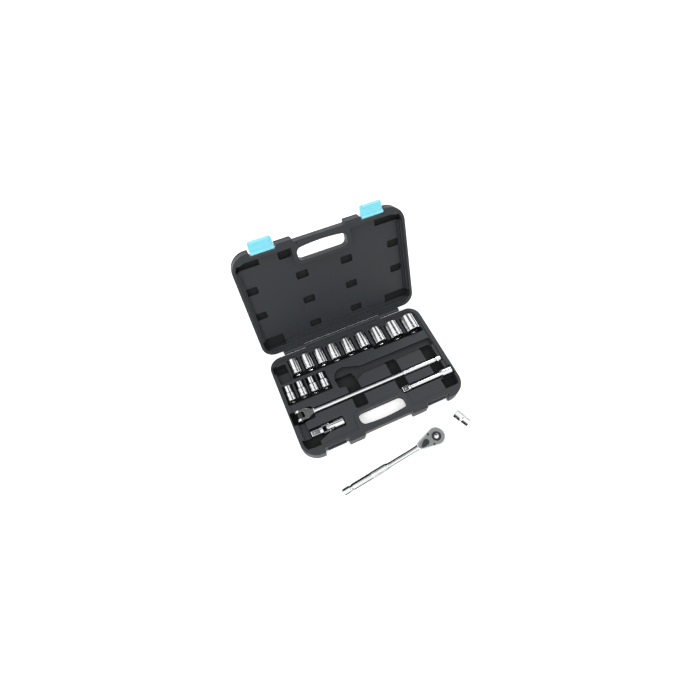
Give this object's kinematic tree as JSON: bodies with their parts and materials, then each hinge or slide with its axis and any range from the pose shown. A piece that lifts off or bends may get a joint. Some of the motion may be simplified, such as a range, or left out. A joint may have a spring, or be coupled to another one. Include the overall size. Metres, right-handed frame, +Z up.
{
  "type": "socket wrench set in case",
  "caption": "Open blow-moulded case with half-inch-drive sockets, flex handle, extension and universal joint; a ratchet and one socket lie in front.",
  "frame": {"origin": "centre of the case's underside, on the table", "axes": "+Z up, +X along the hinge to the right, +Y from the carrying handle to the hinge"},
  "size_m": [0.404, 0.5006, 0.2842],
  "materials": {
    "case_plastic": "fine texture",
    "latch_plastic": "satin",
    "chrome_plate": "polished",
    "black_oxide": "satin",
    "plain_steel": "ground",
    "zinc_pin": "bright zinc"
  },
  "bodies": {
    "base": {"base_shell": "case_plastic", "hinge_pin": "zinc_pin"},
    "lid": {"lid_shell": "case_plastic", "latch_pin_left": "zinc_pin", "latch_pin_right": "zinc_pin"},
    "latch_left": {"latch_left": "latch_plastic"},
    "latch_right": {"latch_right": "latch_plastic"},
    "ratchet": {"ratchet_body": "chrome_plate", "ratchet_cover": "chrome_plate", "ratchet_cover_screws": "black_oxide", "ratchet_pawl_plunger": "plain_steel", "ratchet_pawl_spring": "plain_steel"},
    "ratchet_anvil": {"ratchet_drive": "black_oxide", "ratchet_button_spring": "plain_steel"},
    "ratchet_reverser": {"ratchet_lever": "black_oxide", "ratchet_pawl": "plain_steel"},
    "ratchet_push": {"ratchet_button": "plain_steel"},
    "ratchet_detent": {"ratchet_ball": "plain_steel"},
    "flex_handle": {"flex_handle_bar": "chrome_plate", "flex_handle_pin": "black_oxide"},
    "flex_swivel": {"flex_handle_head": "black_oxide"},
    "flex_detent": {"flex_handle_ball": "plain_steel", "flex_handle_ball_spring": "plain_steel"},
    "extension": {"extension_bar": "chrome_plate"},
    "extension_detent": {"extension_ball": "plain_steel", "extension_ball_spring": "plain_steel"},
    "ujoint": {"ujoint_socket_yoke": "chrome_plate", "ujoint_short_pins": "plain_steel"},
    "ujoint_cross": {"ujoint_centre_block": "black_oxide", "ujoint_long_pin": "plain_steel"},
    "ujoint_drive": {"ujoint_drive_yoke": "chrome_plate"},
    "ujoint_detent": {"ujoint_ball": "plain_steel", "ujoint_ball_spring": "plain_steel"},
    "socket_10mm": {"socket_10mm": "chrome_plate"},
    "socket_11mm": {"socket_11mm": "chrome_plate"},
    "socket_12mm": {"socket_12mm": "chrome_plate"},
    "socket_13mm": {"socket_13mm": "chrome_plate"},
    "socket_14mm": {"socket_14mm": "chrome_plate"},
    "socket_17mm": {"socket_17mm": "chrome_plate"},
    "socket_18mm": {"socket_18mm": "chrome_plate"},
    "socket_19mm": {"socket_19mm": "chrome_plate"},
    "socket_20mm": {"socket_20mm": "chrome_plate"},
    "socket_21mm": {"socket_21mm": "chrome_plate"},
    "socket_22mm": {"socket_22mm": "chrome_plate"},
    "socket_24mm": {"socket_24mm": "chrome_plate"},
    "socket_27mm": {"socket_27mm": "chrome_plate"},
    "socket_30mm": {"socket_30mm": "chrome_plate"}
  },
  "joints": [
    {"name": "lid_hinge", "type": "hinge", "parent": "base", "child": "lid", "pos_m": [0, 0.132, 0.03], "axis": [-1, 0, 0], "range_deg": [-116.2, 0]},
    {"name": "latch_left_hinge", "type": "hinge", "parent": "lid", "child": "latch_left", "pos_m": [-0.1265, 0.25083, 0.2613], "axis": [-1, 0, 0], "range_deg": [-90, 0]},
    {"name": "latch_right_hinge", "type": "hinge", "parent": "lid", "child": "latch_right", "pos_m": [0.1265, 0.25083, 0.2613], "axis": [-1, 0, 0], "range_deg": [-90, 0]},
    {"name": "socket_10mm_lift", "type": "slide", "parent": "base", "child": "socket_10mm", "axis": [0, 0, 1], "range_m": [0, 0.06]},
    {"name": "socket_11mm_lift", "type": "slide", "parent": "base", "child": "socket_11mm", "axis": [0, 0, 1], "range_m": [0, 0.06]},
    {"name": "socket_12mm_lift", "type": "slide", "parent": "base", "child": "socket_12mm", "axis": [0, 0, 1], "range_m": [0, 0.06]},
    {"name": "socket_13mm_lift", "type": "slide", "parent": "base", "child": "socket_13mm", "axis": [0, 0, 1], "range_m": [0, 0.06]},
    {"name": "socket_14mm_lift", "type": "slide", "parent": "base", "child": "socket_14mm", "axis": [0, 0, 1], "range_m": [0, 0.06]},
    {"name": "socket_17mm_lift", "type": "slide", "parent": "base", "child": "socket_17mm", "axis": [0, 0, 1], "range_m": [0, 0.06]},
    {"name": "socket_18mm_lift", "type": "slide", "parent": "base", "child": "socket_18mm", "axis": [0, 0, 1], "range_m": [0, 0.06]},
    {"name": "socket_19mm_lift", "type": "slide", "parent": "base", "child": "socket_19mm", "axis": [0, 0, 1], "range_m": [0, 0.06]},
    {"name": "socket_20mm_lift", "type": "slide", "parent": "base", "child": "socket_20mm", "axis": [0, 0, 1], "range_m": [0, 0.06]},
    {"name": "socket_21mm_lift", "type": "slide", "parent": "base", "child": "socket_21mm", "axis": [0, 0, 1], "range_m": [0, 0.06]},
    {"name": "socket_22mm_lift", "type": "slide", "parent": "base", "child": "socket_22mm", "axis": [0, 0, 1], "range_m": [0, 0.06]},
    {"name": "socket_24mm_lift", "type": "slide", "parent": "base", "child": "socket_24mm", "axis": [0, 0, 1], "range_m": [0, 0.06]},
    {"name": "socket_27mm_lift", "type": "slide", "parent": "base", "child": "socket_27mm", "axis": [0, 0, 1], "range_m": [0, 0.06]},
    {"name": "socket_30mm_lift", "type": "slide", "parent": "base", "child": "socket_30mm", "axis": [0, 0, 1], "range_m": [0, 0.06]},
    {"name": "ratchet_lift", "type": "slide", "parent": "base", "child": "ratchet", "axis": [0, 0, 1], "range_m": [0, 0.06]},
    {"name": "ratchet_drive_turn", "type": "hinge", "parent": "ratchet", "child": "ratchet_anvil", "pos_m": [0.079, -0.2, 0.0255], "axis": [-0.0741, -0.0069, 0.9972], "continuous": true},
    {"name": "ratchet_lever_turn", "type": "hinge", "parent": "ratchet", "child": "ratchet_reverser", "pos_m": [0.05219, -0.20251, 0.02349], "axis": [-0.0741, -0.0069, 0.9972], "range_deg": [-40, 0]},
    {"name": "ratchet_button_push", "type": "slide", "parent": "ratchet_anvil", "child": "ratchet_push", "axis": [0.0741, 0.0069, -0.9972], "range_m": [0, 0.003], "stiffness_N_per_m": 500, "springref_m": -0.002, "deforming": ["ratchet_button_spring"]},
    {"name": "ratchet_ball_slide", "type": "slide", "parent": "ratchet_anvil", "child": "ratchet_detent", "axis": [0.9929, 0.093, 0.0745], "range_m": [-0.0009, 0]},
    {"name": "flex_handle_lift", "type": "slide", "parent": "base", "child": "flex_handle", "axis": [0, 0, 1], "range_m": [0, 0.06]},
    {"name": "flex_swivel_turn", "type": "hinge", "parent": "flex_handle", "child": "flex_swivel", "pos_m": [-0.178, -0.0335, 0.026], "axis": [0, 1, 0], "range_deg": [-10, 190]},
    {"name": "flex_ball_slide", "type": "slide", "parent": "flex_swivel", "child": "flex_detent", "axis": [1, 0, 0], "range_m": [-0.0009, 0], "stiffness_N_per_m": 200, "springref_m": 0.002},
    {"name": "extension_lift", "type": "slide", "parent": "base", "child": "extension", "axis": [0, 0, 1], "range_m": [0, 0.06]},
    {"name": "extension_ball_slide", "type": "slide", "parent": "extension", "child": "extension_detent", "axis": [0, 0, 1], "range_m": [-0.0009, 0], "stiffness_N_per_m": 200, "springref_m": 0.002},
    {"name": "ujoint_lift", "type": "slide", "parent": "base", "child": "ujoint", "axis": [0, 0, 1], "range_m": [0, 0.06]},
    {"name": "ujoint_cross_turn", "type": "hinge", "parent": "ujoint", "child": "ujoint_cross", "pos_m": [-0.129, -0.0815, 0.0205], "axis": [0, 0, 1], "range_deg": [0, 20]},
    {"name": "ujoint_drive_turn", "type": "hinge", "parent": "ujoint_cross", "child": "ujoint_drive", "pos_m": [-0.129, -0.0815, 0.0205], "axis": [0, 1, 0], "range_deg": [0, 45]},
    {"name": "ujoint_ball_slide", "type": "slide", "parent": "ujoint_drive", "child": "ujoint_detent", "axis": [0, 0, 1], "range_m": [-0.0009, 0], "stiffness_N_per_m": 200, "springref_m": 0.002}
  ],
  "couplings": [
    {"joint": "ratchet_ball_slide", "follows": "ratchet_button_push", "ratio": -0.3}
  ]
}
